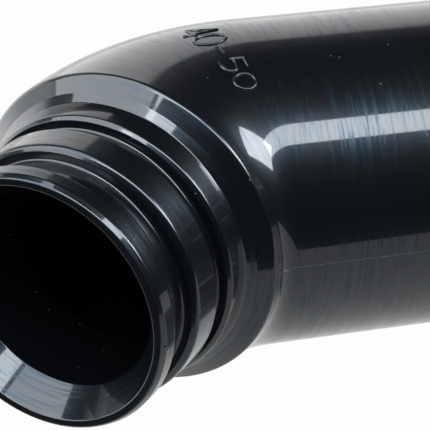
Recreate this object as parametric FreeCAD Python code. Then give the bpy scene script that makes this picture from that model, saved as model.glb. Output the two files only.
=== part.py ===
import FreeCAD, Part
import math
import os

# Adjustable P trap for a 50 mm / 40 mm waste: an inlet tube hung from the sink, a U-bend that holds
# the water seal, a trap elbow, and a moulded 45 degree outlet bend with a grooved spigot.
# Millimetres, +Z up. The origin is the centre of the inlet washer's upper face. The inlet stands on
# the Z axis, and the trap arm runs from it towards -X.

V = FreeCAD.Vector
UP, DOWN, ACROSS, FORE = V(0, 0, 1), V(0, 0, -1), V(1, 0, 0), V(0, 1, 0)

# ---- pipes ----
TUBE_R = 20.0            # outside radius of the inlet tube and the trap arm
TUBE_WALL = 2.5
BORE_ROOM = 2.0          # tube to the larger bore that it slides in
BODY_WALL = 3.0          # wall of the U-bend and the outlet barrel
SLIDE_GAP = 0.3          # a sliding or turning ring to the tube inside it
LAY = 0.1                # flat face to flat face across a joint
EDGE = 0.8               # small edge chamfer

# ---- layout ----
ARM_DROP = 54.0          # inlet washer down to the trap arm's centreline
LEG_SPACING = 80.0       # inlet leg to outlet leg of the U-bend
LEG_LAP = 1.0            # least plain leg between a stop ring and the U-bend's half turn
LEG_RISE = 40.0          # the inlet leg stands this much higher than the outlet leg
ELBOW_BEND_R = 30.0      # centreline radius of the trap elbow
ELBOW_STUB = 20.0        # U-bend's outlet mouth to the start of the elbow's turn
ARM_RUN = 30.0           # end of the elbow's turn to the outlet barrel's mouth
ARM_INSERTION = 35.0     # how far the trap arm reaches into the barrel
BARREL_LENGTH = 86.0     # barrel's mouth to the point where the outlet bend's two axes cross
TUBE_LENGTH = 94.0       # inlet tube below its flange

# ---- threaded ends, nuts and seals ----
THREAD_STAND = 0.6       # the thread's core stands this far out of the pipe
THREAD_HEIGHT = 1.4      # height of the moulded thread that the core carries
THREAD_GAP = 0.3
THREAD_LENGTH = 20.0
STOP_STAND, STOP_WIDTH = 3.5, 2.5
MALE_END = THREAD_LENGTH + 2 * STOP_WIDTH
OUTLET_LEG = MALE_END + LEG_LAP
INLET_LEG = OUTLET_LEG + LEG_RISE
SEAT_FLARE, SEAT_DEPTH = 2.4, 4.0
SEAL_GAP = 0.4           # cone seal to its seat, radially
SEAL_TOP = 2.2           # the cone seal stands this far out of its seat
RING_ROOM, RING_WIDTH = 0.9, 1.5
EYE_GAP = 0.5            # nut's eye to the tube in it
NUT_WALL, NUT_LIP = 3.7, 4.0
RIB_COUNT, RIB_R, RIB_STAND = 12, 3.0, 2.0
FLANGE_WIDTH = 3.0
WASHER_WIDTH = 3.0

# ---- inlet union ----
UNION_STEP = 4.0         # tube to the root of the union nut's thread
UNION_THREAD_LENGTH = 12.0
UNION_RELIEF = 0.6
UNION_FLANGE_ROOM = 2.5
UNION_RING_ROOM = 0.5
UNION_NUT_WALL = 4.0

# ---- cleanout ----
BOSS_R, BOSS_DROP = 19.0, 8.0
PLUG_R, PLUG_GAP = 13.7, 0.3
PLUG_REACH = 13.0
PLUG_WALL = 3.2
PLUG_WASHER_ROOM, PLUG_WASHER_WIDTH = 1.0, 2.0
PLUG_HEAD_WIDTH = 3.5
GRIP_LENGTH, GRIP_WIDTH, GRIP_HEIGHT = 30.0, 7.0, 11.0

# ---- outlet bend ----
OUTLET_TURN = 45.0       # degrees, turned level towards -Y
BEND_INNER_R = 4.0       # radius of the turn's inner side
LIP_BORE_R, LEAD_IN = 18.5, 4.8
SPIGOT_BORE_R = 15.35
LIP_R, LIP_CHAMFER = 19.8, 0.9
COLLAR_R, COLLAR_WIDTH = 20.1, 3.25
GROOVE_FLOOR_R, GROOVE_WIDTH = 18.1, 5.65
BAND_R, BAND_WIDTH = 20.5, 5.5
REAR_GROOVE_FLOOR_R, REAR_GROOVE_WIDTH = 19.2, 2.6
RIDGE_R, RIDGE_REAR_R, RIDGE_WIDTH = 21.2, 21.6, 4.2
RIDGE_CHAMFER = 0.5
SHOULDER_STEP = 1.1      # ridge to the shoulder's cone
SHOULDER_CONE, SHOULDER_RISE = 1.8, 1.7
SHOULDER_EASE_LENGTH, SHOULDER_EASE = 1.1, 0.6   # and the eased edge into the bend
BORE_STEP = 6.2          # length of the cone from the bend's bore down to the spigot's bore

BODY_BORE_R = TUBE_R + BORE_ROOM
BODY_R = BODY_BORE_R + BODY_WALL
TUBE_BORE_R = TUBE_R - TUBE_WALL
LOOSE_R = TUBE_R + SLIDE_GAP
NUT_EYE_R = TUBE_R + EYE_GAP
THREAD_ROOT_R = BODY_R + THREAD_STAND
STOP_R = BODY_R + STOP_STAND
SEAT_R = BODY_BORE_R + SEAT_FLARE
NUT_BORE_R = THREAD_ROOT_R + THREAD_HEIGHT + THREAD_GAP
NUT_R = NUT_BORE_R + NUT_WALL
RING_R = NUT_BORE_R - RING_ROOM
RING_BASE = SEAL_TOP + LAY
NUT_SEAT = RING_BASE + RING_WIDTH + LAY
UNION_THREAD_R = TUBE_R + UNION_STEP
UNION_FLANGE_R = UNION_THREAD_R - UNION_FLANGE_ROOM
UNION_NUT_R = UNION_THREAD_R + UNION_NUT_WALL


def turned(outline, origin=V(0, 0, 0), axis=UP):
    """A solid of revolution from (radius, height) points, its height along axis from origin."""
    points = [V(r, 0, h) for r, h in outline]
    face = Part.Face(Part.makePolygon(points + points[:1]))
    solid = face.revolve(V(0, 0, 0), UP, 360)
    solid.Placement = FreeCAD.Placement(origin, FreeCAD.Rotation(UP, axis))
    return solid


def rod(radius, start, end):
    return Part.makeCylinder(radius, (end - start).Length, start, end - start)


def bent_rod(radius, start, direction, pivot, hinge, angle):
    """A round rod that starts at a point and turns by angle about a hinge line through pivot."""
    circle = Part.makeCircle(radius, start, direction)
    return Part.Face(Part.Wire(circle)).revolve(pivot, hinge, angle)


def joined(shapes):
    return shapes[0].multiFuse(shapes[1:]).removeSplitter()


def grip_ribs(origin, axis, bottom, top, inner_r, outer_r):
    """Round grip ribs that stand on a nut between two heights."""
    ribs = []
    place = FreeCAD.Placement(origin, FreeCAD.Rotation(UP, axis))
    for number in range(RIB_COUNT):
        angle = 2 * math.pi * number / RIB_COUNT
        centre = outer_r - RIB_R
        foot = V(centre * math.cos(angle), centre * math.sin(angle), bottom)
        rib = Part.makeCylinder(RIB_R, top - bottom, foot, UP)
        rib = rib.cut(Part.makeCylinder(inner_r, top - bottom, V(0, 0, bottom), UP))
        rib.Placement = place
        ribs.append(rib)
    return ribs


def male_end(origin, axis):
    """The threaded core and stop ring outside a leg, whose mouth is at origin and faces axis."""
    deep = -MALE_END
    stop_top = deep + STOP_WIDTH
    outline = [(0, deep - LEG_LAP), (BODY_R, deep - LEG_LAP), (STOP_R - EDGE, deep),
               (STOP_R, deep + EDGE), (STOP_R, stop_top), (THREAD_ROOT_R, stop_top),
               (THREAD_ROOT_R, -EDGE), (THREAD_ROOT_R - EDGE, 0), (0, 0)]
    return turned(outline, origin, axis)


def cone_seat(origin, axis):
    return turned([(0, -SEAT_DEPTH), (BODY_BORE_R, -SEAT_DEPTH), (SEAT_R, 0), (0, 0)], origin, axis)


def cone_seal(origin, axis):
    outer = SEAT_R - SEAL_GAP
    inner = BODY_BORE_R - SEAL_GAP
    outline = [(LOOSE_R, -SEAT_DEPTH), (inner, -SEAT_DEPTH), (outer, 0), (outer, SEAL_TOP),
               (LOOSE_R, SEAL_TOP)]
    return turned(outline, origin, axis)


def slip_ring(origin, axis, base, outer_r):
    outline = [(LOOSE_R, base), (outer_r, base), (outer_r, base + RING_WIDTH),
               (LOOSE_R, base + RING_WIDTH)]
    return turned(outline, origin, axis)


def coupling_nut(origin, axis, seat):
    """A ribbed nut over a male end. Its lip bears on the slip ring at height seat."""
    bottom = -THREAD_LENGTH
    top = seat + NUT_LIP
    outline = [(NUT_BORE_R + EDGE, bottom), (NUT_R - EDGE, bottom), (NUT_R, bottom + EDGE),
               (NUT_R, top - 2 * EDGE), (NUT_R - 3 * EDGE, top), (NUT_EYE_R + EDGE, top),
               (NUT_EYE_R, top - EDGE), (NUT_EYE_R, seat), (NUT_BORE_R, seat),
               (NUT_BORE_R, bottom + EDGE)]
    body = turned(outline, origin, axis)
    ribs = grip_ribs(origin, axis, bottom + 2 * EDGE, top - 4 * EDGE, NUT_R - 1, NUT_R + RIB_STAND)
    return joined([body] + ribs)


CROWN_MOUTH = V(-LEG_SPACING, 0, -ARM_DROP - ELBOW_BEND_R - ELBOW_STUB)
U_CENTRE_Z = CROWN_MOUTH.z - OUTLET_LEG
INLET_MOUTH = V(0, 0, U_CENTRE_Z + INLET_LEG)
OUTLET_MOUTH = V(-LEG_SPACING - ELBOW_BEND_R - ARM_RUN, 0, -ARM_DROP)


def inlet_washer():
    return turned([(TUBE_BORE_R, -WASHER_WIDTH), (UNION_FLANGE_R, -WASHER_WIDTH),
                   (UNION_FLANGE_R, 0), (TUBE_BORE_R, 0)])


def inlet_tube():
    top = -WASHER_WIDTH
    under = top - FLANGE_WIDTH
    end = under - TUBE_LENGTH
    return turned([(TUBE_BORE_R, end), (TUBE_R - EDGE, end), (TUBE_R, end + 2 * EDGE),
                   (TUBE_R, under), (UNION_FLANGE_R, under), (UNION_FLANGE_R, top),
                   (TUBE_BORE_R, top)])


UNION_RING_TOP = -WASHER_WIDTH - FLANGE_WIDTH - LAY
UNION_SEAT = UNION_RING_TOP - RING_WIDTH - LAY


def inlet_union_ring():
    return slip_ring(V(0, 0, 0), UP, UNION_RING_TOP - RING_WIDTH,
                     UNION_THREAD_R - UNION_RING_ROOM)


def inlet_union_nut():
    bottom = UNION_SEAT - NUT_LIP
    top = UNION_THREAD_LENGTH
    relief = UNION_THREAD_R + UNION_RELIEF
    body = turned([(NUT_EYE_R, bottom + EDGE), (NUT_EYE_R + EDGE, bottom),
                   (UNION_NUT_R - 3 * EDGE, bottom), (UNION_NUT_R, bottom + 2 * EDGE),
                   (UNION_NUT_R, top - EDGE), (UNION_NUT_R - EDGE, top), (UNION_THREAD_R, top),
                   (UNION_THREAD_R, 0), (relief, 0), (relief, UNION_SEAT),
                   (NUT_EYE_R, UNION_SEAT)])
    ribs = grip_ribs(V(0, 0, 0), UP, bottom + 4 * EDGE, top - 2 * EDGE, UNION_NUT_R - 1,
                     UNION_NUT_R + RIB_STAND)
    return joined([body] + ribs)


PIVOT = V(-LEG_SPACING / 2, 0, U_CENTRE_Z)
BOSS_FACE = PIVOT + V(0, 0, -LEG_SPACING / 2 - BODY_R - BOSS_DROP)


def u_path(radius):
    """The U-bend's two legs and half turn as one solid rod."""
    inlet_foot = V(0, 0, U_CENTRE_Z)
    crown_foot = V(-LEG_SPACING, 0, U_CENTRE_Z)
    turn = bent_rod(radius, inlet_foot, UP, PIVOT, FORE, 180)
    return [rod(radius, inlet_foot, INLET_MOUTH), turn, rod(radius, crown_foot, CROWN_MOUTH)]


def u_bend():
    boss_top = BOSS_FACE + V(0, 0, BOSS_DROP + BODY_R)
    boss = rod(BOSS_R, BOSS_FACE, boss_top)
    ends = [male_end(INLET_MOUTH, UP), male_end(CROWN_MOUTH, UP)]
    outside = joined(u_path(BODY_R) + [boss] + ends)
    for piece in u_path(BODY_BORE_R):
        outside = outside.cut(piece)
    outside = outside.cut(cone_seat(INLET_MOUTH, UP))
    return outside.cut(rod(PLUG_R + PLUG_GAP, BOSS_FACE, boss_top))


def cleanout_washer():
    inner, outer = PLUG_R + SLIDE_GAP, BOSS_R - PLUG_WASHER_ROOM
    outline = [(inner, 0), (outer, 0), (outer, PLUG_WASHER_WIDTH), (inner, PLUG_WASHER_WIDTH)]
    return turned(outline, BOSS_FACE + V(0, 0, -LAY), DOWN)


def cleanout_plug():
    """A hollow screwed plug with a round head and a bar grip, drawn from its inner end outwards."""
    seat = 2 * LAY + PLUG_WASHER_WIDTH
    head = seat + PLUG_HEAD_WIDTH
    hollow = PLUG_R - PLUG_WALL
    body = turned([(hollow, -PLUG_REACH), (PLUG_R - EDGE, -PLUG_REACH),
                   (PLUG_R, -PLUG_REACH + EDGE), (PLUG_R, seat), (BOSS_R, seat),
                   (BOSS_R, head - EDGE), (BOSS_R - EDGE, head), (0, head), (0, seat),
                   (hollow, seat)], BOSS_FACE, DOWN)
    corner = BOSS_FACE + V(-GRIP_LENGTH / 2, -GRIP_WIDTH / 2, -head - GRIP_HEIGHT)
    grip = Part.makeBox(GRIP_LENGTH, GRIP_WIDTH, GRIP_HEIGHT + 1, corner)
    corners = [edge for edge in grip.Edges if abs(edge.tangentAt(edge.FirstParameter).z) > 0.9]
    grip = grip.makeFillet(GRIP_WIDTH / 2 - 0.5, corners)
    return joined([body, grip])


def crown_washer():
    return turned([(BODY_BORE_R, 0), (RING_R, 0), (RING_R, WASHER_WIDTH), (BODY_BORE_R, WASHER_WIDTH)],
                  CROWN_MOUTH, UP)


ELBOW_BASE = CROWN_MOUTH + V(0, 0, WASHER_WIDTH + LAY)
CROWN_RING_BASE = WASHER_WIDTH + LAY + FLANGE_WIDTH + LAY
ARM_END = OUTLET_MOUTH + V(-ARM_INSERTION, 0, 0)


def elbow_path(radius):
    foot = V(-LEG_SPACING, 0, -ARM_DROP - ELBOW_BEND_R)
    knee = V(-LEG_SPACING - ELBOW_BEND_R, 0, -ARM_DROP)
    pivot = V(knee.x, 0, foot.z)
    turn = bent_rod(radius, foot, UP, pivot, FORE, -90)
    return [rod(radius, ELBOW_BASE, foot), turn, rod(radius, knee, ARM_END)]


def trap_elbow():
    flange = turned([(0, 0), (RING_R, 0), (RING_R, FLANGE_WIDTH), (0, FLANGE_WIDTH)], ELBOW_BASE, UP)
    outside = joined(elbow_path(TUBE_R) + [flange])
    for piece in elbow_path(TUBE_BORE_R):
        outside = outside.cut(piece)
    return outside


CORNER = OUTLET_MOUTH + V(-BARREL_LENGTH, 0, 0)
TURN = math.radians(OUTLET_TURN)
SPIGOT_WAY = V(-math.cos(TURN), -math.sin(TURN), 0)
OUTLET_BEND_R = BODY_R + BEND_INNER_R
TANGENT = OUTLET_BEND_R * math.tan(TURN / 2)
COLLAR_END = COLLAR_WIDTH
BAND_START = COLLAR_END + GROOVE_WIDTH
BAND_END = BAND_START + BAND_WIDTH
RIDGE_START = BAND_END + REAR_GROOVE_WIDTH
RIDGE_END = RIDGE_START + RIDGE_WIDTH
BEND_END = RIDGE_END + SHOULDER_STEP + SHOULDER_CONE + SHOULDER_EASE_LENGTH
RIM = CORNER + SPIGOT_WAY * (BEND_END + TANGENT)


def outlet_spigot():
    """The grooved spigot and shoulder, drawn from the rim inwards, up to the bend."""
    step = RIDGE_END + SHOULDER_STEP
    edge = step + SHOULDER_CONE
    edge_r = BODY_R - SHOULDER_EASE
    step_r = edge_r - SHOULDER_RISE
    outline = [(0, 0), (LIP_R, 0), (COLLAR_R, LIP_CHAMFER), (COLLAR_R, COLLAR_END),
               (GROOVE_FLOOR_R, COLLAR_END), (GROOVE_FLOOR_R, BAND_START), (BAND_R, BAND_START),
               (BAND_R, BAND_END), (REAR_GROOVE_FLOOR_R, BAND_END),
               (REAR_GROOVE_FLOOR_R, RIDGE_START), (RIDGE_R - RIDGE_CHAMFER, RIDGE_START),
               (RIDGE_R, RIDGE_START + RIDGE_CHAMFER), (RIDGE_REAR_R, RIDGE_END), (step_r, step),
               (edge_r, edge), (BODY_R, BEND_END), (0, BEND_END)]
    return turned(outline, RIM, SPIGOT_WAY * -1)


def outlet_bore():
    outline = [(0, 0), (LIP_BORE_R, 0), (SPIGOT_BORE_R, LEAD_IN), (SPIGOT_BORE_R, BEND_END - BORE_STEP),
               (BODY_BORE_R, BEND_END), (0, BEND_END)]
    return turned(outline, RIM, SPIGOT_WAY * -1)


def outlet_bend_path(radius):
    start = CORNER + V(TANGENT, 0, 0)
    pivot = start + V(0, -OUTLET_BEND_R, 0)
    turn = bent_rod(radius, start, ACROSS, pivot, UP, OUTLET_TURN)
    return [rod(radius, OUTLET_MOUTH, start), turn]


def outlet_bend():
    outside = joined(outlet_bend_path(BODY_R) + [outlet_spigot(), male_end(OUTLET_MOUTH, ACROSS)])
    for piece in outlet_bend_path(BODY_BORE_R):
        outside = outside.cut(piece)
    outside = outside.cut(outlet_bore())
    return outside.cut(cone_seat(OUTLET_MOUTH, ACROSS))


PIECES = {
    "inlet_washer": inlet_washer(),
    "inlet_tube": inlet_tube(),
    "inlet_union_ring": inlet_union_ring(),
    "inlet_union_nut": inlet_union_nut(),
    "inlet_cone_seal": cone_seal(INLET_MOUTH, UP),
    "inlet_slip_ring": slip_ring(INLET_MOUTH, UP, RING_BASE, RING_R),
    "inlet_compression_nut": coupling_nut(INLET_MOUTH, UP, NUT_SEAT),
    "u_bend": u_bend(),
    "cleanout_washer": cleanout_washer(),
    "cleanout_plug": cleanout_plug(),
    "crown_washer": crown_washer(),
    "crown_slip_ring": slip_ring(CROWN_MOUTH, UP, CROWN_RING_BASE, RING_R),
    "crown_union_nut": coupling_nut(CROWN_MOUTH, UP, CROWN_RING_BASE + RING_WIDTH + LAY),
    "trap_elbow": trap_elbow(),
    "outlet_cone_seal": cone_seal(OUTLET_MOUTH, ACROSS),
    "outlet_slip_ring": slip_ring(OUTLET_MOUTH, ACROSS, RING_BASE, RING_R),
    "outlet_compression_nut": coupling_nut(OUTLET_MOUTH, ACROSS, NUT_SEAT),
    "outlet_bend": outlet_bend(),
}

os.makedirs("parts", exist_ok=True)
for name, shape in PIECES.items():
    solids = shape.Solids
    print(name, len(solids), "solid", round(shape.Volume), "mm3, valid", shape.isValid())
    solids[0].exportStep("parts/" + name + ".step")
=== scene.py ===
import math

import bmesh
import bpy
from mathutils import Euler, Matrix, Vector


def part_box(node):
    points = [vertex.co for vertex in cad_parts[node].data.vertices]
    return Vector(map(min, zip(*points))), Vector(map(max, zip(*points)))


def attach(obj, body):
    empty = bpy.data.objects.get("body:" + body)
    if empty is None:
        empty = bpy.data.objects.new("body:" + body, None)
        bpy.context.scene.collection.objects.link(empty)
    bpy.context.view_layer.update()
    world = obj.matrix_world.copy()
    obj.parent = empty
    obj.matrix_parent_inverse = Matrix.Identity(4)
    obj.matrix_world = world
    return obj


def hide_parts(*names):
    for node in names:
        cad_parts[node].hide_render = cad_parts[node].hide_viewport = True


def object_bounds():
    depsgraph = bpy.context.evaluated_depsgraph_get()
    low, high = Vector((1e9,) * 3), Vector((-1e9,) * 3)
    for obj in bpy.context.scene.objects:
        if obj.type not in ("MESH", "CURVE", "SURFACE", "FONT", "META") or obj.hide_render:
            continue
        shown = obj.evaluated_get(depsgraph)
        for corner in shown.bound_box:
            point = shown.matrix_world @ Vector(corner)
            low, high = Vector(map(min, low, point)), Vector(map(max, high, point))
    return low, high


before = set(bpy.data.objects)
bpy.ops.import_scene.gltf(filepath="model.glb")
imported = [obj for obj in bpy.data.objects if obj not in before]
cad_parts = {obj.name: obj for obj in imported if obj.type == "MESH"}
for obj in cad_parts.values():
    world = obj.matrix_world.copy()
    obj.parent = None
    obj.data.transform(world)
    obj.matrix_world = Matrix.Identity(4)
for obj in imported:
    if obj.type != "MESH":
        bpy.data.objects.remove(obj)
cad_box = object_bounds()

MM = 0.001

# ---------------------------------------------------------------------------------------------
# Outlet bend: barrel, tight 45 degree turn and grooved spigot in one gloss black ABS moulding.
# Two steel cores form its bore, and the two halves of the mould meet in the plane of both axes,
# where they leave a fine parting line. The spigot's two grooves are empty.
# ---------------------------------------------------------------------------------------------


class Route:
    """The centreline of a pipe: straight runs and turns in one plane, measured from its start."""

    def __init__(self, start, heading, side, steps):
        self.legs = []
        here, ahead, across = Vector(start), Vector(heading), Vector(side)
        for step in steps:
            self.legs.append((here.copy(), ahead.copy(), across.copy(), step))
            if len(step) == 1:
                here = here + ahead * step[0]
            else:
                radius, angle = step
                here = here + ahead * radius * math.sin(angle) + across * radius * (1 - math.cos(angle))
                ahead, across = (ahead * math.cos(angle) + across * math.sin(angle),
                                 across * math.cos(angle) - ahead * math.sin(angle))
        self.length = sum(self.run(step) for step in steps)

    @staticmethod
    def run(step):
        return step[0] if len(step) == 1 else step[0] * step[1]

    def at(self, distance):
        """Centre, heading and side direction at a distance along the route."""
        left = distance
        for number, (here, ahead, across, step) in enumerate(self.legs):
            run = self.run(step)
            if left <= run or number == len(self.legs) - 1:
                break
            left -= run
        if len(step) == 1:
            return here + ahead * left, ahead, across
        angle = left / step[0]
        turned_ahead = ahead * math.cos(angle) + across * math.sin(angle)
        turned_across = across * math.cos(angle) - ahead * math.sin(angle)
        return here + across * step[0] - turned_across * step[0], turned_ahead, turned_across

    def point(self, distance, radius, angle):
        """A point beside the route. Angle 0 is on the inner side of its turns."""
        centre, ahead, across = self.at(distance)
        third = ahead.cross(across)
        return centre + across * radius * math.cos(angle) + third * radius * math.sin(angle)


def softened(corners, step):
    """A closed outline of (distance, radius, rounding) corners, rounded and divided finely."""
    shape = []
    count = len(corners)
    for number, (t, r, rounding) in enumerate(corners):
        corner = Vector((t, r))
        before = Vector(corners[number - 1][:2])
        after = Vector(corners[(number + 1) % count][:2])
        back, on = (before - corner), (after - corner)
        turn = math.pi - back.angle(on)
        reach = min(rounding * math.tan(turn / 2), 0.45 * back.length, 0.45 * on.length)
        if reach < 1e-6:
            shape.append(corner)
            continue
        back_way, on_way = back.normalized(), on.normalized()
        start, end = corner + back_way * reach, corner + on_way * reach
        margin = min(0.12 * MM, 0.04 * back.length, 0.04 * on.length)
        radius = reach / math.tan(turn / 2)
        centre = corner + (back_way + on_way).normalized() * math.hypot(radius, reach)
        pieces = max(3, round(turn / math.radians(15)))
        shape.append(start + back_way * margin)
        for k in range(pieces + 1):
            share = k / pieces
            arm = (start - centre).normalized().slerp((end - centre).normalized(), share)
            shape.append(centre + arm * radius)
        shape.append(end + on_way * margin)
    fine = []
    for number, here in enumerate(shape):
        ahead = shape[(number + 1) % len(shape)]
        parts = max(1, math.ceil((ahead - here).length / step))
        fine += [here.lerp(ahead, k / parts) for k in range(parts)]
    return fine


def moulded(name, route, corners, segments=128, step=3 * MM):
    """A closed round shell that follows a route. It keeps its straightened coordinates."""
    outline = softened(corners, step)
    mesh = bmesh.new()
    straight = mesh.verts.layers.float_vector.new("straight")
    rings = []
    for t, r in outline:
        ring = []
        for k in range(segments):
            angle = 2 * math.pi * k / segments
            vert = mesh.verts.new(route.point(t, r, angle))
            vert[straight] = Vector((t, r * math.cos(angle), r * math.sin(angle)))
            ring.append(vert)
        rings.append(ring)
    for number, ring in enumerate(rings):
        ahead = rings[(number + 1) % len(rings)]
        for k in range(segments):
            following = (k + 1) % segments
            mesh.faces.new((ring[k], ring[following], ahead[following], ahead[k]))
    bmesh.ops.recalc_face_normals(mesh, faces=mesh.faces)
    for face in mesh.faces:
        face.smooth = True
    data = bpy.data.meshes.new(name)
    mesh.to_mesh(data)
    mesh.free()
    piece = bpy.data.objects.new(name, data)
    bpy.context.scene.collection.objects.link(piece)
    return piece


class Field:
    """A shader socket that takes part in Python arithmetic."""

    def __init__(self, recipe, socket):
        self.recipe, self.socket = recipe, socket

    def sum_with(self, operation, *values):
        return self.recipe.node("ShaderNodeMath", {"operation": operation}, dict(enumerate(values)))

    def __add__(self, other):
        return self.sum_with("ADD", self, other)

    def __sub__(self, other):
        return self.sum_with("SUBTRACT", self, other)

    def __mul__(self, other):
        return self.sum_with("MULTIPLY", self, other)

    def __gt__(self, other):
        return self.sum_with("GREATER_THAN", self, other)

    def __lt__(self, other):
        return self.sum_with("LESS_THAN", self, other)

    def __rsub__(self, other):
        return self.sum_with("SUBTRACT", other, self)

    __radd__, __rmul__ = __add__, __mul__

    def ramp(self, low, high):
        """0 below low and 1 above high, smooth in between."""
        values = {"Value": self, "From Min": low, "From Max": high}
        return self.recipe.node("ShaderNodeMapRange", {"interpolation_type": "SMOOTHSTEP"}, values)

    def mixed(self, colour, other):
        """A colour that goes from colour to other as this field goes from 0 to 1."""
        values = {"Factor": self, "A": colour, "B": other}
        return self.recipe.node("ShaderNodeMix", {"data_type": "RGBA"}, values, "Result")


class Recipe:
    """A material or world under construction."""

    def __init__(self, owner):
        owner.use_nodes = True
        self.owner, self.tree = owner, owner.node_tree
        self.tree.nodes.clear()

    def node(self, kind, settings=None, values=None, output=0):
        made = self.tree.nodes.new(kind)
        for key, value in (settings or {}).items():
            setattr(made, key, value)
        for key, value in (values or {}).items():
            sockets = made.inputs
            if isinstance(key, str):
                socket = next(s for s in sockets if s.name == key and s.enabled)
            else:
                socket = sockets[key]
            if isinstance(value, Field):
                self.tree.links.new(value.socket, socket)
            else:
                socket.default_value = value
        if isinstance(output, str):
            found = next(s for s in made.outputs if s.name == output and s.enabled)
        else:
            found = made.outputs[output]
        return Field(self, found)

    def noise(self, vector, scale, detail=2.0, roughness=0.5):
        values = {"Vector": vector, "Scale": scale, "Detail": detail, "Roughness": roughness}
        return self.node("ShaderNodeTexNoise", {}, values)

    def stretched(self, vector, scale):
        values = {"Vector": vector, "Scale": scale}
        return self.node("ShaderNodeMapping", {"vector_type": "POINT"}, values)

    def finish(self, shader):
        lights = isinstance(self.owner, bpy.types.World)
        out = self.tree.nodes.new("ShaderNodeOutputWorld" if lights else "ShaderNodeOutputMaterial")
        self.tree.links.new(shader.socket, out.inputs["Surface"])
        return self.owner


def black_plastic(name, colour):
    """Black moulded plastic: a glossy skin over a faint haze of rub marks, with a little lint."""
    skin_roughness, rubbed_roughness, coat_roughness = 0.36, 0.27, 0.05
    lint_colour, rubbed_tint = (0.55, 0.56, 0.56, 1.0), (0.45, 0.74, 1.0, 1.0)
    lint_size, lint_share, rubbed_everywhere = 0.05, 0.56, 0.22
    make = Recipe(bpy.data.materials.new(name))
    place = make.node("ShaderNodeAttribute", {"attribute_name": "straight"}, {}, "Vector")
    rubs = make.noise(make.stretched(place, (2600.0, 130.0, 130.0)), 1.0, 3.0, 0.65)
    patches = make.noise(place, 55.0, 2.0)
    wear = rubs.ramp(0.45, 0.7) * patches.ramp(0.2, 0.65)
    swirl = make.noise(make.stretched(place, (500.0, 2400.0, 900.0)), 1.0, 2.0)
    ripple = make.noise(place, 90.0, 1.0)
    cell = make.node("ShaderNodeTexVoronoi", {"feature": "F1"}, {"Vector": place, "Scale": 420.0},
                     "Distance")
    pick = make.noise(place, 61.0, 0.0)
    lint = (cell < lint_size) * (pick > lint_share)
    shade = (lint * 0.5).mixed(colour, lint_colour)
    height = wear * 0.02 + swirl * 0.012 + ripple * 0.25 + lint * 0.4
    values = {"Height": height, "Strength": 0.35, "Distance": 0.05 * MM}
    normal = make.node("ShaderNodeBump", {}, values, "Normal")
    values = {"Base Color": shade, "Roughness": wear * 0.12 + skin_roughness, "Coat Weight": 1.0,
              "Specular IOR Level": 0.08, "Coat Roughness": coat_roughness, "Coat IOR": 1.46,
              "Normal": normal}
    skin = make.node("ShaderNodeBsdfPrincipled", {}, values)
    values = {"Base Color": shade, "Roughness": rubbed_roughness, "IOR": 1.5,
              "Specular Tint": rubbed_tint, "Normal": normal}
    rubbed = make.node("ShaderNodeBsdfPrincipled", {}, values)
    share = wear * 0.8 + rubbed_everywhere
    return make.finish(make.node("ShaderNodeMixShader", {}, {0: share, 1: skin, 2: rubbed}))


def finished(piece, material, body, node):
    """Gives a piece its material and its body, and hides the CAD node that it stands for, if any."""
    piece.data.materials.clear()
    piece.data.materials.append(material)
    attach(piece, body)
    if node:
        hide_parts(node)
    return piece


def plain_mesh(name, source, material):
    """Turns an object that has a curve or live modifiers into a plain mesh."""
    bpy.context.scene.collection.objects.link(source)
    graph = bpy.context.evaluated_depsgraph_get()
    mesh = bpy.data.meshes.new_from_object(source.evaluated_get(graph))
    bpy.data.objects.remove(source)
    mesh.name = name
    mesh.materials.clear()
    mesh.materials.append(material)
    piece = bpy.data.objects.new(name, mesh)
    bpy.context.scene.collection.objects.link(piece)
    return piece


def parting_line(name, route, angle, start, end, radius, material):
    """The fine raised line where the mould's halves meet, along one side of a pipe."""
    line_r, sunk, spacing = 0.09 * MM, 0.03 * MM, 1.5 * MM
    count = 2 + math.ceil((end - start) / spacing)
    curve = bpy.data.curves.new(name, "CURVE")
    curve.dimensions = "3D"
    curve.bevel_depth, curve.bevel_resolution = line_r, 1
    curve.use_fill_caps = True
    spline = curve.splines.new("POLY")
    spline.points.add(count - 1)
    for k in range(count):
        spot = route.point(start + (end - start) * k / (count - 1), radius - sunk, angle)
        spline.points[k].co = (*spot, 1)
    return plain_mesh(name, bpy.data.objects.new(name, curve), material)


outlet_low, outlet_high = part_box("outlet_bend")
nut_low, nut_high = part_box("outlet_compression_nut")
EDGE, SEAM_GAP = 0.8 * MM, 1.2 * MM
ARM_Z = (nut_low.z + nut_high.z) / 2
PIPE_R, PIPE_BORE_R = 25 * MM, 22 * MM
OUTLET_TURN, OUTLET_BEND_R = math.radians(45), 29 * MM
BARREL_LENGTH = 86 * MM
CUT = OUTLET_BEND_R * math.tan(OUTLET_TURN / 2)
SPIGOT_LENGTH = 25.2 * MM
THREAD_CORE_R, THREAD_LENGTH = 25.6 * MM, 20 * MM
STOP_R, STOP_WIDTH = 28.5 * MM, 2.5 * MM
SEAT_R, SEAT_DEPTH = 24.4 * MM, 4 * MM
MALE_END = THREAD_LENGTH + 2 * STOP_WIDTH


def mouth_corners(coned, at=0.0, way=1):
    """Corners from the bore of a threaded end round its mouth to the plain pipe outside."""
    stop = THREAD_LENGTH + STOP_WIDTH
    corners = [(SEAT_DEPTH, PIPE_BORE_R, 0.3), (0, SEAT_R, 0.25)] if coned else [(0, PIPE_BORE_R, 0.4)]
    corners += [(0, THREAD_CORE_R - EDGE, 0.2), (EDGE, THREAD_CORE_R, 0.3),
                (stop, THREAD_CORE_R, 0.5), (stop, STOP_R, 0.5), (MALE_END - EDGE, STOP_R, 0.5),
                (MALE_END, STOP_R - EDGE, 0.3), (MALE_END + 1 * MM, PIPE_R, 1.2)]
    return [(at + way * t, r, rounding * MM) for t, r, rounding in corners]


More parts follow.
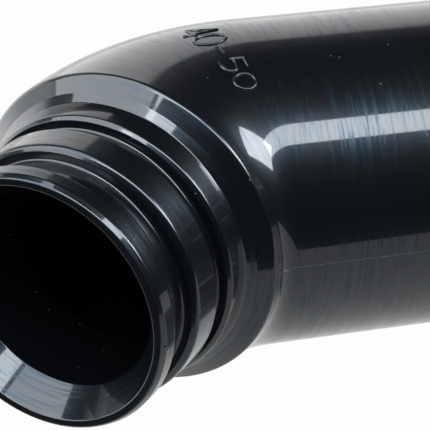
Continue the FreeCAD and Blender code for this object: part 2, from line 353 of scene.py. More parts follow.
barrel = Route((outlet_high.x, 0, ARM_Z), (-1, 0, 0), (0, -1, 0),
               [(BARREL_LENGTH - CUT,), (OUTLET_BEND_R, OUTLET_TURN), (SPIGOT_LENGTH,)])
RIM = barrel.length
# Depth behind the rim, radius and rounding, from the shoulder out to the lip and back in.
SPIGOT = [
    (23.9, 25.0, 0.7), (22.3, 22.7, 0.5), (21.2, 21.5, 0.35), (17.5, 21.3, 0.5),
    (17.0, 20.7, 0.3), (17.0, 19.2, 0.5), (14.4, 19.2, 0.6), (14.4, 20.5, 0.12), (9.3, 20.4, 0.7),
    (8.9, 19.5, 0.4), (8.9, 18.1, 0.5), (3.25, 18.1, 0.7), (3.25, 20.1, 0.2), (0.9, 20.05, 0.5),
    (0.0, 19.6, 0.35), (0.0, 18.5, 0.3), (4.8, 15.35, 0.25), (19.0, 15.35, 2.0), (25.2, 22.0, 3.0)]
outline = mouth_corners(True)
outline += [(RIM - depth * MM, radius * MM, rounding * MM) for depth, radius, rounding in SPIGOT]
gloss_black = black_plastic("gloss_black_abs", (0.0045, 0.006, 0.0085, 1))
moulding = moulded("outlet_bend_moulding", barrel, outline, 192, 1.5 * MM)
finished(moulding, gloss_black, "outlet_bend", "outlet_bend")
for side, angle in (("near", 0.0), ("far", math.pi)):
    seam = parting_line("outlet_bend_seam_" + side, barrel, angle, MALE_END + SEAM_GAP,
                        RIM - SPIGOT_LENGTH - EDGE, PIPE_R, gloss_black)
    finished(seam, gloss_black, "outlet_bend", None)
# The same line on each land of the spigot: its two ends behind the rim, and the land's radius.
LANDS = (0.5, 3.1, 20.08), (9.5, 14.2, 20.45), (17.7, 21.0, 21.4)
for number, (near_rim, far_end, radius) in enumerate(LANDS):
    flash = parting_line("spigot_flash_%d" % number, barrel, 0.0, RIM - far_end * MM,
                         RIM - near_rim * MM, radius * MM, gloss_black)
    finished(flash, gloss_black, "outlet_bend", None)

# The raised size mark. Its strokes are drawn in a cell one unit high and 0.58 units wide.
CELL_WIDTH = 0.58
NOUGHT = [(0.29 + 0.29 * math.cos(a), 0.5 + 0.5 * math.sin(a))
          for a in (k * math.pi / 12 for k in range(25))]
FIVE_BOWL = [(0.26 + 0.3 * math.cos(a), 0.31 + 0.31 * math.sin(a))
             for a in (math.radians(135 - 24 * k) for k in range(12))]
STROKES = {"4": [[(0.42, 0), (0.42, 1), (0, 0.3), (0.58, 0.3)]], "0": [NOUGHT],
           "-": [[(0.08, 0.45), (0.5, 0.45)]], "5": [[(0.54, 1), (0.09, 1), (0.05, 0.53)] + FIVE_BOWL]}
MARK, MARK_AT, MARK_CENTRE = "40-50", 80.5 * MM, math.radians(84)
MARK_PITCH, MARK_HEIGHT, STROKE_R = 3.6 * MM, 5 * MM, 0.25 * MM
writing = bpy.data.curves.new("size_mark", "CURVE")
writing.dimensions, writing.bevel_depth, writing.bevel_resolution = "3D", STROKE_R, 2
writing.use_fill_caps = True
for place, character in enumerate(MARK):
    for stroke in STROKES[character]:
        line = writing.splines.new("POLY")
        line.points.add(len(stroke) - 1)
        for point, (across, up) in zip(line.points, stroke):
            along = (place - (len(MARK) - 1) / 2) * MARK_PITCH + (across - CELL_WIDTH / 2) * MARK_HEIGHT
            spot = barrel.point(MARK_AT - (up - 0.5) * MARK_HEIGHT, PIPE_R + 0.02 * MM,
                                MARK_CENTRE - along / PIPE_R)
            point.co = (*spot, 1)
mark = plain_mesh("size_mark", bpy.data.objects.new("size_mark", writing), gloss_black)
finished(mark, gloss_black, "outlet_bend", None)

# ---------------------------------------------------------------------------------------------
# Outlet coupling: a ribbed nut draws a slip ring and a rubber cone seal into the barrel's mouth,
# round the arm that slides in it. The nut is moulded in satin black with twelve round grip ribs,
# the slip ring is natural white plastic, and the seal is matt black rubber.
# ---------------------------------------------------------------------------------------------


class Nodes:
    """A geometry node group under construction, with named inputs."""

    def __init__(self, name, inputs):
        self.tree = bpy.data.node_groups.new(name, "GeometryNodeTree")
        for label, kind in inputs:
            self.tree.interface.new_socket(label, in_out="INPUT", socket_type="NodeSocket" + kind)
        self.tree.interface.new_socket("Geometry", in_out="OUTPUT", socket_type="NodeSocketGeometry")
        self.given = self.tree.nodes.new("NodeGroupInput").outputs
        self.result = self.tree.nodes.new("NodeGroupOutput").inputs["Geometry"]

    def add(self, kind, values=None, settings=None):
        """Adds a node and returns its first output."""
        prefix = "" if kind.startswith("Shader") else "GeometryNode"
        made = self.tree.nodes.new(prefix + kind)
        for key, value in (settings or {}).items():
            setattr(made, key, value)
        for key, value in (values or {}).items():
            if isinstance(value, bpy.types.NodeSocket):
                self.tree.links.new(value, made.inputs[key])
            else:
                made.inputs[key].default_value = value
        return made.outputs[0]

    def maths(self, operation, a, b=0.0):
        return self.add("ShaderNodeMath", {0: a, 1: b}, {"operation": operation})

    def build(self, name, values, material):
        """Runs the group on a new object and returns the result as a plain mesh."""
        holder = bpy.data.objects.new(name, bpy.data.meshes.new(name))
        modifier = holder.modifiers.new(name, "NODES")
        modifier.node_group = self.tree
        for item in self.tree.interface.items_tree:
            if item.in_out == "INPUT":
                modifier[item.identifier] = material if item.name == "Material" else values[item.name]
        return plain_mesh(name, holder, material)


def rib_nodes():
    """Capsule ribs standing upright on a circle."""
    group = Nodes("grip_ribs", [("Count", "Int"), ("Circle Radius", "Float"), ("Rib Radius", "Float"),
                                ("Rib Length", "Float"), ("Material", "Material")])
    given = group.given
    ball = group.add("MeshUVSphere", {"Segments": 20, "Rings": 13, "Radius": given["Rib Radius"]})
    height = group.tree.nodes.new("ShaderNodeSeparateXYZ")
    group.tree.links.new(group.add("InputPosition"), height.inputs[0])
    side = group.maths("SIGN", height.outputs["Z"])
    half_length = group.maths("MULTIPLY", given["Rib Length"], 0.5)
    reach = group.maths("SUBTRACT", half_length, given["Rib Radius"])
    lift = group.add("ShaderNodeCombineXYZ", {"Z": group.maths("MULTIPLY", side, reach)})
    capsule = group.add("SetPosition", {"Geometry": ball, "Offset": lift})
    circle = group.add("MeshCircle", {"Vertices": given["Count"], "Radius": given["Circle Radius"]})
    ribs = group.add("InstanceOnPoints", {"Points": circle, "Instance": capsule})
    solid = group.add("RealizeInstances", {"Geometry": ribs})
    smooth = group.add("SetShadeSmooth", {"Geometry": solid})
    painted = group.add("SetMaterial", {"Geometry": smooth, "Material": given["Material"]})
    group.tree.links.new(painted, group.result)
    return group


def thread_nodes():
    """A moulded thread ridge. Inwards is 0 where it stands on a tube and 1 where it lines a nut."""
    group = Nodes("moulded_thread", [("Core Radius", "Float"), ("Pitch", "Float"), ("Turns", "Float"),
                                     ("Ridge", "Float"), ("Inwards", "Float"), ("Material", "Material")])
    given = group.given
    rise = group.maths("MULTIPLY", given["Pitch"], given["Turns"])
    helix = group.add("CurveSpiral", {"Resolution": 72, "Rotations": given["Turns"], "Height": rise,
                                      "Start Radius": given["Core Radius"],
                                      "End Radius": given["Core Radius"], "Reverse": True})
    upright = group.add("SetCurveNormal", {"Curve": helix}, {"mode": "Z_UP"})
    base = group.maths("MULTIPLY", given["Pitch"], 0.8)
    top = group.maths("MULTIPLY", given["Pitch"], 0.3)
    profile = group.add("CurvePrimitiveQuadrilateral", {"Height": given["Ridge"], "Bottom Width": base,
                                                        "Top Width": top, "Offset": 0.0},
                        {"mode": "TRAPEZOID"})
    flip = group.maths("MULTIPLY", given["Inwards"], -math.pi)
    turn = group.add("ShaderNodeCombineXYZ", {"Z": group.maths("ADD", flip, math.pi / 2)})
    stood = group.add("Transform", {"Geometry": profile, "Rotation": turn})
    share = group.add("SplineParameter")
    ends = group.maths("MINIMUM", share, group.maths("SUBTRACT", 1.0, share))
    steepness = group.maths("MULTIPLY", given["Turns"], 6.0)
    taper = group.maths("MINIMUM", group.maths("MULTIPLY", ends, steepness), 1.0)
    scale = group.maths("MAXIMUM", taper, 0.05)
    ridge = group.add("CurveToMesh", {"Curve": upright, "Profile Curve": stood, "Scale": scale,
                                      "Fill Caps": True})
    painted = group.add("SetMaterial", {"Geometry": ridge, "Material": given["Material"]})
    group.tree.links.new(painted, group.result)
    return group


def stood_at(piece, origin, axis, base):
    """Moves a piece that was built on the Z axis to a mouth, base along its axis."""
    turn = Vector((0, 0, 1)).rotation_difference(Vector(axis)).to_matrix().to_4x4()
    piece.data.transform(Matrix.Translation(Vector(origin) + Vector(axis) * base) @ turn)
    return piece


def soft_black(name, colour, roughness, grain):
    """Satin plastic or rubber: an even fine grain over slow changes of sheen."""
    make = Recipe(bpy.data.materials.new(name))
    place = make.node("ShaderNodeTexCoord", {}, {}, "Object")
    slow = make.noise(place, 60.0, 2.0)
    fine = make.noise(place, 1900.0, 2.0, 0.6)
    dusty = make.noise(place, 240.0, 4.0, 0.7).ramp(0.55, 0.85)
    paler = tuple(3 * c + 0.01 for c in colour[:3]) + (1,)
    shade = (dusty * 0.3 + slow * 0.15).mixed(colour, paler)
    normal = make.node("ShaderNodeBump", {}, {"Height": fine + slow * 2.0, "Strength": grain,
                                              "Distance": 0.06 * MM}, "Normal")
    values = {"Base Color": shade, "Roughness": slow * 0.16 + dusty * 0.12 + (roughness - 0.1),
              "IOR": 1.45, "Normal": normal}
    return make.finish(make.node("ShaderNodeBsdfPrincipled", {}, values))


def white_plastic(name):
    """Natural low-friction plastic, slightly waxy, with fine turning rings."""
    make = Recipe(bpy.data.materials.new(name))
    place = make.node("ShaderNodeAttribute", {"attribute_name": "straight"}, {}, "Vector")
    rings = make.noise(make.stretched(place, (4000.0, 60.0, 60.0)), 1.0, 2.0)
    cloud = make.noise(place, 120.0, 3.0)
    shade = cloud.mixed((0.76, 0.75, 0.70, 1), (0.84, 0.83, 0.79, 1))
    normal = make.node("ShaderNodeBump", {}, {"Height": rings, "Strength": 0.2, "Distance": 0.05 * MM},
                       "Normal")
    values = {"Base Color": shade, "Roughness": cloud * 0.15 + 0.36, "Subsurface Weight": 0.15,
              "Subsurface Scale": 0.003, "Normal": normal}
    return make.finish(make.node("ShaderNodeBsdfPrincipled", {}, values))


satin_black = soft_black("satin_black_nut", (0.011, 0.012, 0.014, 1), 0.36, 0.25)
seal_rubber = soft_black("matt_seal_rubber", (0.016, 0.016, 0.016, 1), 0.68, 0.5)
slip_white = white_plastic("natural_slip_ring")
ribs, thread = rib_nodes(), thread_nodes()

LOOSE_R, EYE_R, RING_R = 20.3 * MM, 20.5 * MM, 26.4 * MM
NUT_BORE_R, NUT_R, RIB_R = 27.3 * MM, 31 * MM, 3 * MM
NUT_LIP, RIB_COUNT, RIB_STANDOUT = 4 * MM, 12, 2 * MM
THREAD_PITCH, THREAD_RIDGE = 3 * MM, 1.25 * MM
RING_WIDTH, SEAL_TOP, LAY = 1.5 * MM, 2.2 * MM, 0.1 * MM


def straight_axis(origin, axis):
    """A straight route along an axis. Distances behind its origin are negative."""
    return Route(origin, axis, (0, -1, 0), [(1.0,)])


def ribbed_nut(name, origin, axis, bottom, top, wall_r, corners, body, node):
    """A nut's round body from its corners, with its grip ribs as a second piece."""
    shell = moulded(name, straight_axis(origin, axis), corners, 160)
    finished(shell, satin_black, body, node)
    sizes = {"Count": RIB_COUNT, "Circle Radius": wall_r + RIB_STANDOUT - RIB_R, "Rib Radius": RIB_R,
             "Rib Length": top - bottom}
    grip = stood_at(ribs.build(name + "_ribs", sizes, satin_black), origin, axis, (top + bottom) / 2)
    finished(grip, satin_black, body, None)


def male_thread(name, origin, axis, body):
    """The moulded thread on a threaded end whose mouth is at origin and faces axis."""
    turns = (THREAD_LENGTH - 2.5 * MM) / THREAD_PITCH
    sizes = {"Core Radius": THREAD_CORE_R + THREAD_RIDGE / 2 - 0.1 * MM, "Pitch": THREAD_PITCH,
             "Turns": turns, "Ridge": THREAD_RIDGE, "Inwards": 0.0}
    ridge = stood_at(thread.build(name, sizes, gloss_black), origin, axis, -THREAD_LENGTH + 0.5 * MM)
    finished(ridge, gloss_black, body, None)


def coupling_nut(name, origin, axis, seat, body, node):
    """A ribbed nut over a threaded end whose mouth is at origin. Its lip bears at seat."""
    bottom, top = -THREAD_LENGTH, seat + NUT_LIP
    corners = [(bottom, NUT_BORE_R + EDGE, 0.3), (bottom, NUT_R - EDGE, 0.3), (bottom + EDGE, NUT_R, 0.5),
               (top - 2 * EDGE, NUT_R, 1.0), (top, NUT_R - 3 * EDGE, 0.8), (top, EYE_R + EDGE, 0.4),
               (top - EDGE, EYE_R, 0.3), (seat, EYE_R, 0.2), (seat, NUT_BORE_R, 0.4),
               (bottom + EDGE, NUT_BORE_R, 0.3)]
    corners = [(t, r, rounding * MM) for t, r, rounding in corners]
    ribbed_nut(name, origin, axis, bottom + 2 * EDGE, top - 4 * EDGE, NUT_R, corners, body, node)


def flat_ring(name, origin, axis, base, width, inner, outer, material, body, node, soft=0.25):
    """A flat ring or washer from base to base + width along the axis, with softened edges."""
    corners = [(base, inner, soft * MM), (base, outer, soft * MM), (base + width, outer, soft * MM),
               (base + width, inner, soft * MM)]
    ring = moulded(name, straight_axis(origin, axis), corners, 96)
    return finished(ring, material, body, node)


def cone_seal(name, origin, axis, body, node):
    """The tapered rubber seal that lies in a threaded end's coned mouth."""
    outer, toe = SEAT_R - 0.4 * MM, PIPE_BORE_R - 0.4 * MM
    corners = [(-SEAT_DEPTH, LOOSE_R, 0.3), (-SEAT_DEPTH, toe, 0.4), (0, outer, 0.5),
               (SEAL_TOP, outer, 0.5), (SEAL_TOP, LOOSE_R, 0.4)]
    corners = [(t, r, rounding * MM) for t, r, rounding in corners]
    seal = moulded(name, straight_axis(origin, axis), corners, 96)
    return finished(seal, seal_rubber, body, node)


OUTLET_MOUTH, OUTWARDS = Vector((outlet_high.x, 0, ARM_Z)), (1, 0, 0)
NUT_SEAT = SEAL_TOP + RING_WIDTH + 2 * LAY
male_thread("outlet_bend_thread", OUTLET_MOUTH, OUTWARDS, "outlet_bend")
coupling_nut("outlet_nut", OUTLET_MOUTH, OUTWARDS, NUT_SEAT, "outlet_nut", "outlet_compression_nut")
flat_ring("outlet_ring", OUTLET_MOUTH, OUTWARDS, SEAL_TOP + LAY, RING_WIDTH, LOOSE_R, RING_R,
          slip_white, "outlet_ring", "outlet_slip_ring")
cone_seal("outlet_seal", OUTLET_MOUTH, OUTWARDS, "outlet_seal", "outlet_cone_seal")

# ---------------------------------------------------------------------------------------------
# Trap elbow: a 90 degree elbow and trap arm in one gloss black ABS moulding. Its lower end has a
# flange that the crown nut pulls down, and its plain arm slides into the outlet barrel.
# ---------------------------------------------------------------------------------------------
elbow_low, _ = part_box("trap_elbow")
crown_low, crown_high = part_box("crown_union_nut")
CROWN_X = (crown_low.x + crown_high.x) / 2
ARM_R, ARM_BORE_R, ELBOW_BEND_R = 20 * MM, 17.5 * MM, 30 * MM
FLANGE_R, FLANGE_WIDTH = RING_R, 3 * MM
ELBOW_BASE = Vector((CROWN_X, 0, elbow_low.z))
rise = ARM_Z - ELBOW_BEND_R - elbow_low.z
arm_run = CROWN_X - ELBOW_BEND_R - elbow_low.x
elbow = Route(ELBOW_BASE, (0, 0, 1), (-1, 0, 0), [(rise,), (ELBOW_BEND_R, math.pi / 2), (arm_run,)])
tip = elbow.length
corners = [(0, ARM_BORE_R, 0.5), (0, FLANGE_R, 0.3), (FLANGE_WIDTH, FLANGE_R, 0.4),
           (FLANGE_WIDTH, ARM_R, 0.9), (tip, ARM_R, 0.6), (tip, ARM_BORE_R, 0.5)]
outline = [(t, r, rounding * MM) for t, r, rounding in corners]
finished(moulded("trap_elbow_moulding", elbow, outline, 144, 2 * MM), gloss_black, "elbow",
         "trap_elbow")
for side, angle in (("inner", 0.0), ("outer", math.pi)):
    seam = parting_line("trap_elbow_seam_" + side, elbow, angle, FLANGE_WIDTH + 1 * MM,
                        rise + ELBOW_BEND_R * math.pi / 2 + 2 * MM, ARM_R, gloss_black)
    finished(seam, gloss_black, "elbow", None)

# ---------------------------------------------------------------------------------------------
# Crown union: the nut over the U-bend's outlet leg. It bears on a white slip ring and clamps the
# elbow's flange on a flat rubber washer that lies on the leg's mouth.
# ---------------------------------------------------------------------------------------------
washer_low, washer_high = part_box("crown_washer")
CROWN_MOUTH, UPWARDS = Vector((CROWN_X, 0, washer_low.z)), (0, 0, 1)
ring_low, ring_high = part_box("crown_slip_ring")
coupling_nut("crown_nut", CROWN_MOUTH, UPWARDS, ring_high.z + LAY - CROWN_MOUTH.z, "crown_nut",
             "crown_union_nut")
flat_ring("crown_ring", CROWN_MOUTH, UPWARDS, ring_low.z - CROWN_MOUTH.z, RING_WIDTH, LOOSE_R,
          RING_R, slip_white, "crown_ring", "crown_slip_ring")
flat_ring("crown_seal", CROWN_MOUTH, UPWARDS, 0.0, washer_high.z - washer_low.z, PIPE_BORE_R,
          FLANGE_R, seal_rubber, "u_bend", "crown_washer", 0.4)

# ---------------------------------------------------------------------------------------------
# U-bend: the water seal, moulded in gloss black ABS with two threaded ends and a round boss under
# its lowest point. Its halves meet in the plane of the bend, where the parting line runs.
# ---------------------------------------------------------------------------------------------
bend_low, bend_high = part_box("u_bend")
INLET_MOUTH = Vector((0, 0, bend_high.z))
HALF_SPACING = abs(CROWN_X) / 2
BOSS_R, BOSS_HOLE_R, BOSS_DROP, BOSS_FILLET = 19 * MM, 14 * MM, 8 * MM, 2.5 * MM
TURN_Z = bend_low.z + BOSS_DROP + PIPE_R + HALF_SPACING
drop, climb = INLET_MOUTH.z - TURN_Z, CROWN_MOUTH.z - TURN_Z
u_route = Route(INLET_MOUTH, (0, 0, -1), (-1, 0, 0), [(drop,), (HALF_SPACING, math.pi), (climb,)])
end = u_route.length
outline = mouth_corners(True) + mouth_corners(False, end, -1)[::-1]
u_shell = moulded("u_bend_shell", u_route, outline, 144, 2 * MM)

drill = bpy.data.meshes.new("drill")
bit = bmesh.new()
bmesh.ops.create_cone(bit, cap_ends=True, segments=72, radius1=BOSS_HOLE_R, radius2=BOSS_HOLE_R,
                      depth=30 * MM)
bmesh.ops.translate(bit, verts=bit.verts, vec=(CROWN_X / 2, 0, bend_low.z + 12 * MM))
bit.to_mesh(drill)
bit.free()
driller = bpy.data.objects.new("drill", drill)
bpy.context.scene.collection.objects.link(driller)
bore = u_shell.modifiers.new("cleanout hole", "BOOLEAN")
bore.operation, bore.object, bore.solver = "DIFFERENCE", driller, "EXACT"
bpy.context.scene.collection.objects.unlink(u_shell)
u_moulding = plain_mesh("u_bend_moulding", u_shell, gloss_black)
bpy.data.objects.remove(driller)
finished(u_moulding, gloss_black, "u_bend", "u_bend")
# Each line stops short of the boss, which takes the middle of the turn.
SEAM_RUNS = (("inlet", MALE_END + SEAM_GAP, drop + HALF_SPACING * 1.02),
             ("outlet", drop + HALF_SPACING * 2.12, end - MALE_END - SEAM_GAP))
for side, angle in (("inner", 0.0), ("outer", math.pi)):
    for half, start, stop in SEAM_RUNS:
        seam = parting_line("u_bend_seam_" + side + "_" + half, u_route, angle, start, stop, PIPE_R,
                            gloss_black)
        finished(seam, gloss_black, "u_bend", None)


def under_side(x, y):
    """Height of the U-bend's outside under a point, measured from the middle of the boss."""
    outside_r = HALF_SPACING + math.sqrt(max(PIPE_R ** 2 - y ** 2, 0.0))
    return TURN_Z - math.sqrt(outside_r ** 2 - x ** 2)


def boss_mesh(name):
    """The cleanout boss: a short pipe whose top flares into the underside of the bend."""
    mesh = bmesh.new()
    straight = mesh.verts.layers.float_vector.new("straight")
    face_z, segments, steps, rings = bend_low.z, 120, 8, []
    face = [(BOSS_HOLE_R, 0.4 * MM), (BOSS_HOLE_R + 0.4 * MM, 0.0), (BOSS_R - 0.6 * MM, 0.0),
            (BOSS_R - 0.18 * MM, 0.18 * MM), (BOSS_R, 0.6 * MM)]
    for k in range(segments):
        a = 2 * math.pi * k / segments
        c, s = math.cos(a), math.sin(a)
        column = [(r, face_z + h) for r, h in face]
        foot = under_side((BOSS_R + BOSS_FILLET) * c, (BOSS_R + BOSS_FILLET) * s)
        neck = under_side(BOSS_R * c, BOSS_R * s) - BOSS_FILLET
        column += [(BOSS_R, face_z + 0.8 * MM), (BOSS_R, neck - 0.1 * MM)]
        for step in range(steps + 1):
            share = step / steps
            bow = (1 - share) ** 2
            radius = BOSS_R + BOSS_FILLET * share ** 2
            height = bow * neck + 2 * share * (1 - share) * (neck + BOSS_FILLET) + share ** 2 * foot
            column.append((radius, height))
        column.append((BOSS_R + BOSS_FILLET, foot + 0.8 * MM))
        column.append((BOSS_HOLE_R, under_side(BOSS_HOLE_R * c, BOSS_HOLE_R * s) + 1.5 * MM))
        ring = []
        for r, z in column:
            vert = mesh.verts.new((CROWN_X / 2 + r * c, r * s, z))
            vert[straight] = Vector((z, r * c, r * s))
            ring.append(vert)
        rings.append(ring)
    for k, ring in enumerate(rings):
        beside = rings[(k + 1) % segments]
        for j in range(len(ring)):
            ahead = (j + 1) % len(ring)
            mesh.faces.new((ring[j], beside[j], beside[ahead], ring[ahead]))
    bmesh.ops.recalc_face_normals(mesh, faces=mesh.faces)
    for polygon in mesh.faces:
        polygon.smooth = True
    data = bpy.data.meshes.new(name)
    mesh.to_mesh(data)
    mesh.free()
    piece = bpy.data.objects.new(name, data)
    bpy.context.scene.collection.objects.link(piece)
    return piece


finished(boss_mesh("u_bend_cleanout_boss"), gloss_black, "u_bend", None)
male_thread("u_bend_inlet_thread", INLET_MOUTH, UPWARDS, "u_bend")
male_thread("u_bend_outlet_thread", CROWN_MOUTH, UPWARDS, "u_bend")

# ---------------------------------------------------------------------------------------------
# Cleanout: a hollow screwed plug with a round head and a bar to grip, moulded in satin black, on
# a flat rubber washer under the boss.
# ---------------------------------------------------------------------------------------------
plug_low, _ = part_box("cleanout_plug")
BOSS_FACE, DOWNWARDS = Vector((CROWN_X / 2, 0, bend_low.z)), (0, 0, -1)
PLUG_R, PLUG_BORE_R, PLUG_REACH = 13.7 * MM, 10.5 * MM, 13 * MM
HEAD_TOP, HEAD_WIDTH = 2.2 * MM, 3.5 * MM
GRIP, GRIP_IN_HEAD = Vector((30 * MM, 7 * MM, 11 * MM)), 1 * MM
WASHER_WIDTH, WASHER_IN_R, WASHER_OUT_R = 2 * MM, 14 * MM, 18 * MM
head = HEAD_TOP + HEAD_WIDTH
PLUG_THREAD = 0.9 * MM
core = PLUG_R - PLUG_THREAD
MIDDLE_R = 1 * MM
corners = [(-PLUG_REACH, PLUG_BORE_R, 0.4), (-PLUG_REACH, core - EDGE, 0.4),
           (-PLUG_REACH + EDGE, core, 0.4), (HEAD_TOP, core, 0.4), (HEAD_TOP, BOSS_R, 0.4),
           (head - EDGE, BOSS_R, 0.5), (head, BOSS_R - EDGE, 0.5), (head, MIDDLE_R, 0.3),
           (HEAD_TOP, MIDDLE_R, 0.3), (HEAD_TOP, PLUG_BORE_R, 0.5)]
outline = [(t, r, rounding * MM) for t, r, rounding in corners]
plug = moulded("cleanout_plug_body", straight_axis(BOSS_FACE, DOWNWARDS), outline, 120)
finished(plug, satin_black, "cleanout", "cleanout_plug")
sizes = {"Core Radius": core + PLUG_THREAD / 2 - 0.1 * MM, "Pitch": THREAD_PITCH, "Turns": 4.2,
         "Ridge": PLUG_THREAD, "Inwards": 0.0}
ridge = stood_at(thread.build("cleanout_plug_thread", sizes, satin_black), BOSS_FACE, DOWNWARDS,
                 -PLUG_REACH + 0.6 * MM)
finished(ridge, satin_black, "cleanout", None)

bar = bmesh.new()
bmesh.ops.create_cube(bar, size=1.0)
bmesh.ops.scale(bar, verts=bar.verts, vec=(GRIP.x, GRIP.y, GRIP.z + GRIP_IN_HEAD))
upright = [e for e in bar.edges if abs(e.verts[0].co.z - e.verts[1].co.z) > 1 * MM]
bmesh.ops.bevel(bar, geom=upright, offset=GRIP.y / 2 - 0.4 * MM, segments=8, profile=0.5, affect="EDGES")
rims = [e for e in bar.edges if e.verts[0].co.z < 0 and e.verts[1].co.z < 0]
bmesh.ops.bevel(bar, geom=rims, offset=1.2 * MM, segments=4, profile=0.5, affect="EDGES")
centre_z = plug_low.z + (GRIP.z + GRIP_IN_HEAD) / 2
bmesh.ops.translate(bar, verts=bar.verts, vec=(CROWN_X / 2, 0, centre_z))
for face in bar.faces:
    face.smooth = True
grip_mesh = bpy.data.meshes.new("cleanout_plug_grip")
bar.to_mesh(grip_mesh)
bar.free()
grip_mesh.set_sharp_from_angle(angle=math.radians(35))
grip = bpy.data.objects.new("cleanout_plug_grip", grip_mesh)
bpy.context.scene.collection.objects.link(grip)
finished(grip, satin_black, "cleanout", None)
flat_ring("cleanout_seal", BOSS_FACE, DOWNWARDS, LAY, WASHER_WIDTH, WASHER_IN_R, WASHER_OUT_R,
          seal_rubber, "cleanout_seal", "cleanout_washer", 0.5)

# ---------------------------------------------------------------------------------------------
# Inlet coupling: the same nut, slip ring and cone seal as at the outlet, round the inlet tube.
# ---------------------------------------------------------------------------------------------
coupling_nut("inlet_nut", INLET_MOUTH, UPWARDS, NUT_SEAT, "inlet_nut", "inlet_compression_nut")
flat_ring("inlet_ring", INLET_MOUTH, UPWARDS, SEAL_TOP + LAY, RING_WIDTH, LOOSE_R, RING_R,
          slip_white, "inlet_ring", "inlet_slip_ring")
cone_seal("inlet_seal", INLET_MOUTH, UPWARDS, "inlet_seal", "inlet_cone_seal")

# ---------------------------------------------------------------------------------------------
# Inlet tube and union: a plain gloss black tube with a flange, hung from the sink waste by a
# ribbed union nut over a white friction ring, and sealed by a flat rubber washer on its flange.
# ---------------------------------------------------------------------------------------------
tube_low, tube_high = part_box("inlet_tube")
tube_axis = Route((0, 0, tube_high.z), (0, 0, -1), (0, -1, 0), [(tube_high.z - tube_low.z,)])
UNION_FLANGE_R = 21.5 * MM
foot = tube_axis.length
corners = [(0, ARM_BORE_R, 0.4), (0, UNION_FLANGE_R, 0.3), (FLANGE_WIDTH, UNION_FLANGE_R, 0.4),
           (FLANGE_WIDTH, ARM_R, 0.4), (foot - 1.6 * MM, ARM_R, 1.0), (foot, ARM_R - EDGE, 0.3),
           (foot, ARM_BORE_R, 0.4)]
outline = [(t, r, rounding * MM) for t, r, rounding in corners]
finished(moulded("inlet_tube_moulding", tube_axis, outline, 144), gloss_black, "tailpiece",
         "inlet_tube")
flat_ring("inlet_seat_washer", (0, 0, 0), UPWARDS, tube_high.z, -tube_high.z, ARM_BORE_R,
          UNION_FLANGE_R, seal_rubber, "tailpiece", "inlet_washer", 0.5)
union_low, union_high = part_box("inlet_union_nut")
ring_low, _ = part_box("inlet_union_ring")
UNION_RING_R = 23.5 * MM
flat_ring("union_ring", (0, 0, 0), UPWARDS, ring_low.z, RING_WIDTH, LOOSE_R, UNION_RING_R, slip_white,
          "union_ring", "inlet_union_ring")
UNION_THREAD_R, UNION_RELIEF_R, UNION_NUT_R = 24 * MM, 24.6 * MM, 28 * MM
UNION_PITCH, UNION_RIDGE = 2.309 * MM, 1.3 * MM
bottom, top, seat = union_low.z, union_high.z, ring_low.z - LAY
corners = [(bottom + EDGE, EYE_R, 0.3), (bottom, EYE_R + EDGE, 0.3),
           (bottom, UNION_NUT_R - 3 * EDGE, 0.8), (bottom + 2 * EDGE, UNION_NUT_R, 1.0),
           (top - EDGE, UNION_NUT_R, 0.5), (top, UNION_NUT_R - EDGE, 0.3), (top, UNION_THREAD_R, 0.5),
           (0, UNION_THREAD_R, 0.2), (0, UNION_RELIEF_R, 0.2), (seat, UNION_RELIEF_R, 0.4),
           (seat, EYE_R, 0.2)]
corners = [(t, r, rounding * MM) for t, r, rounding in corners]
ribbed_nut("union_nut", Vector((0, 0, 0)), UPWARDS, bottom + 4 * EDGE, top - 2 * EDGE, UNION_NUT_R,
           corners, "union_nut", "inlet_union_nut")
sizes = {"Core Radius": UNION_THREAD_R - UNION_RIDGE / 2 + 0.1 * MM, "Pitch": UNION_PITCH, "Turns": 4.4,
         "Ridge": UNION_RIDGE, "Inwards": 1.0}
ridge = stood_at(thread.build("union_nut_thread", sizes, satin_black), (0, 0, 0), UPWARDS, 1 * MM)
finished(ridge, satin_black, "union_nut", None)

# ---------------------------------------------------------------------------------------------
# Studio: a white table under the trap, a long softbox above it, a small one to the right and a tall
# one to the left, with a bright backdrop behind and a bright wall low on the left. The table
# clears the U-bend at the bottom of its travel.
# ---------------------------------------------------------------------------------------------
FLOOR_R, FLOOR_CENTRE, FLOOR_DROP = 1.12, (0.584, 0.392), 22 * MM
WHITE_TO_CAMERA, WHITE_TO_GLOSS = 0.97, 0.85
floor_mesh = bpy.data.meshes.new("floor")
table = bmesh.new()
bmesh.ops.create_circle(table, cap_ends=True, segments=96, radius=FLOOR_R)
bmesh.ops.translate(table, verts=table.verts, vec=(*FLOOR_CENTRE, cad_box[0].z - FLOOR_DROP))
table.to_mesh(floor_mesh)
table.free()
floor = bpy.data.objects.new("floor", floor_mesh)
bpy.context.scene.collection.objects.link(floor)
make = Recipe(bpy.data.materials.new("white_table"))
paths = make.tree.nodes.new("ShaderNodeLightPath")
seen, glossy = Field(make, paths.outputs["Is Camera Ray"]), Field(make, paths.outputs["Is Glossy Ray"])
matt = make.node("ShaderNodeBsdfDiffuse", {}, {"Color": (0.9, 0.9, 0.9, 1)})
white = make.node("ShaderNodeEmission", {}, {"Color": (1, 1, 1, 1), "Strength": 1.0})
share = seen * WHITE_TO_CAMERA + glossy * WHITE_TO_GLOSS
mixed = make.node("ShaderNodeMixShader", {}, {0: share, 1: matt, 2: white})
floor.data.materials.append(make.finish(mixed))

FOCUS = Vector((outlet_low.x + 0.04, 0, ARM_Z))


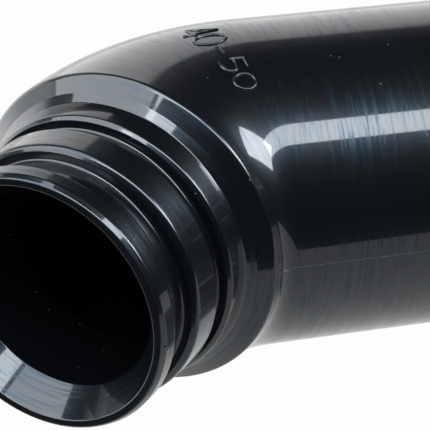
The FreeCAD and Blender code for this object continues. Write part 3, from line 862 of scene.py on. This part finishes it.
def softbox(name, size, place, power, lights, shows):
    """A softbox facing the outlet bend. It may light surfaces, show in their gloss, or both."""
    lamp = bpy.data.lights.new(name, "AREA")
    lamp.shape = "RECTANGLE"
    lamp.size, lamp.size_y = size
    lamp.energy = power
    lamp.color = (0.95, 0.98, 1.0)
    thing = bpy.data.objects.new(name, lamp)
    thing.location = place
    thing.rotation_euler = (FOCUS - place).to_track_quat("-Z", "Y").to_euler()
    thing.visible_diffuse, thing.visible_glossy = lights, shows
    bpy.context.scene.collection.objects.link(thing)


def around(azimuth, elevation, distance):
    """A place seen from the outlet bend. Azimuth 0 is towards -Y and 90 is towards +X."""
    a, e = math.radians(azimuth), math.radians(elevation)
    way = Vector((math.sin(a) * math.cos(e), -math.cos(a) * math.cos(e), math.sin(e)))
    return FOCUS + way * distance


# The long softbox is two lamps in one place: one shows in the gloss, the other lights surfaces.
STRIP_SIZE, STRIP_PLACE = (2.4, 0.32), around(0, 60.5, 1.25)
softbox("strip_glint", STRIP_SIZE, STRIP_PLACE, 38, False, True)
softbox("strip_light", STRIP_SIZE, STRIP_PLACE, 9, True, False)
softbox("end_glint", (0.64, 0.38), around(76, 36, 1.25), 14.5, False, True)
softbox("left_glint", (1.07, 1.98), around(-88, 41, 1.36), 45, False, True)

BACKDROP_GLOW, WALL_GLOW, ROOM_GLOW, SOFT_LIGHT = 1.65, 2.4, 0.008, 0.5
world = bpy.data.worlds.new("studio")
bpy.context.scene.world = world
make = Recipe(world)
paths = make.tree.nodes.new("ShaderNodeLightPath")
way = make.node("ShaderNodeTexCoord", {}, {}, "Generated")
parts = make.tree.nodes.new("ShaderNodeSeparateXYZ")
make.tree.links.new(way.socket, parts.inputs[0])
sideways, toward_back, height = (Field(make, parts.outputs[axis]) for axis in "XYZ")
backdrop = (1 - height.ramp(0.545, 0.575)) * (toward_back - sideways * 0.14).ramp(0.62, 0.78)
left_wall = (1 - height.ramp(0.18, 0.30)) * (1 - sideways.ramp(-0.58, -0.42)) * toward_back.ramp(0.1, 0.3)
glow = backdrop * BACKDROP_GLOW + left_wall * WALL_GLOW + ROOM_GLOW
seen, soft = Field(make, paths.outputs["Is Camera Ray"]), Field(make, paths.outputs["Is Diffuse Ray"])
strength = seen + (1 - seen) * (soft * SOFT_LIGHT + (1 - soft) * glow)
make.finish(make.node("ShaderNodeBackground", {}, {"Color": (1, 1, 1, 1), "Strength": strength}))

# ---------------------------------------------------------------------------------------------
# Camera: a close three-quarter look down into the spigot, from in front and above. The lens is long,
# so the rings keep nearly the same shape from front to back.
# ---------------------------------------------------------------------------------------------
SENSOR, FOCAL_LENGTH = 36, 188.4
AZIMUTH, ELEVATION, ROLL = math.radians(-17.78), math.radians(31.12), math.radians(2.65)
BEND_CORNER = Vector((outlet_high.x - BARREL_LENGTH, 0, ARM_Z))
AIM, REACH = BEND_CORNER + Vector((6.11, -3.77, -2.86)) * MM, 341.5 * MM
lens = bpy.data.cameras.new("camera")
lens.sensor_width, lens.lens = SENSOR, FOCAL_LENGTH
lens.clip_start, lens.clip_end = 0.01, 20
camera = bpy.data.objects.new("camera", lens)
back = Vector((math.sin(AZIMUTH) * math.cos(ELEVATION), -math.cos(AZIMUTH) * math.cos(ELEVATION),
               math.sin(ELEVATION)))
camera.location = AIM + back * REACH
camera.rotation_mode = "QUATERNION"
level = (-back).to_track_quat("-Z", "Y")
camera.rotation_quaternion = level @ Euler((0, 0, ROLL)).to_quaternion()
bpy.context.scene.collection.objects.link(camera)
bpy.context.scene.camera = camera
bpy.context.scene.view_settings.view_transform = "Standard"
